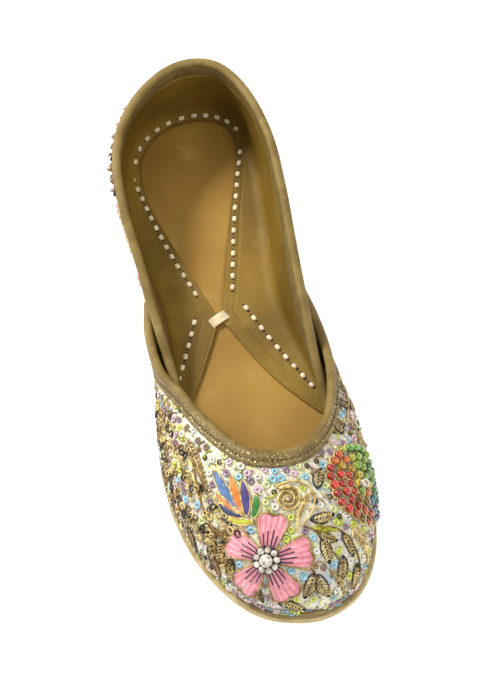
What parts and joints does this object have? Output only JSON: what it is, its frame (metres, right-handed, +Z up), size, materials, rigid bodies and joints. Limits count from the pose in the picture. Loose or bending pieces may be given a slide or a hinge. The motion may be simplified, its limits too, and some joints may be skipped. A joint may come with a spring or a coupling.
{
  "type": "mojari shoe",
  "caption": "Flat slip-on mojari for the right foot, with an embroidered vamp and quarter, an open slack collar, bound edges and a thin leather sole.",
  "frame": {"origin": "bottom centre of the bounding box, on the floor under the waist of the sole", "axes": "-Y points from the heel to the toe, +X is the medial side of the right foot, +Z is up from the floor"},
  "size_m": [0.085, 0.2512, 0.0484],
  "materials": {
    "sole_leather": "matt vegetable-tanned sole leather with a bare cut edge",
    "insole_leather": "smooth camel lining leather, slightly polished",
    "embroidered_fabric": "cream silk under flat sequins, beads and metal thread",
    "binding_leather": "bronze grained leather with a gold fleck"
  },
  "bodies": {
    "root": {"outsole": "sole_leather", "insole": "insole_leather", "upper": "embroidered_fabric", "vamp_binding": "binding_leather", "quarter_binding": "binding_leather"}
  },
  "joints": []
}
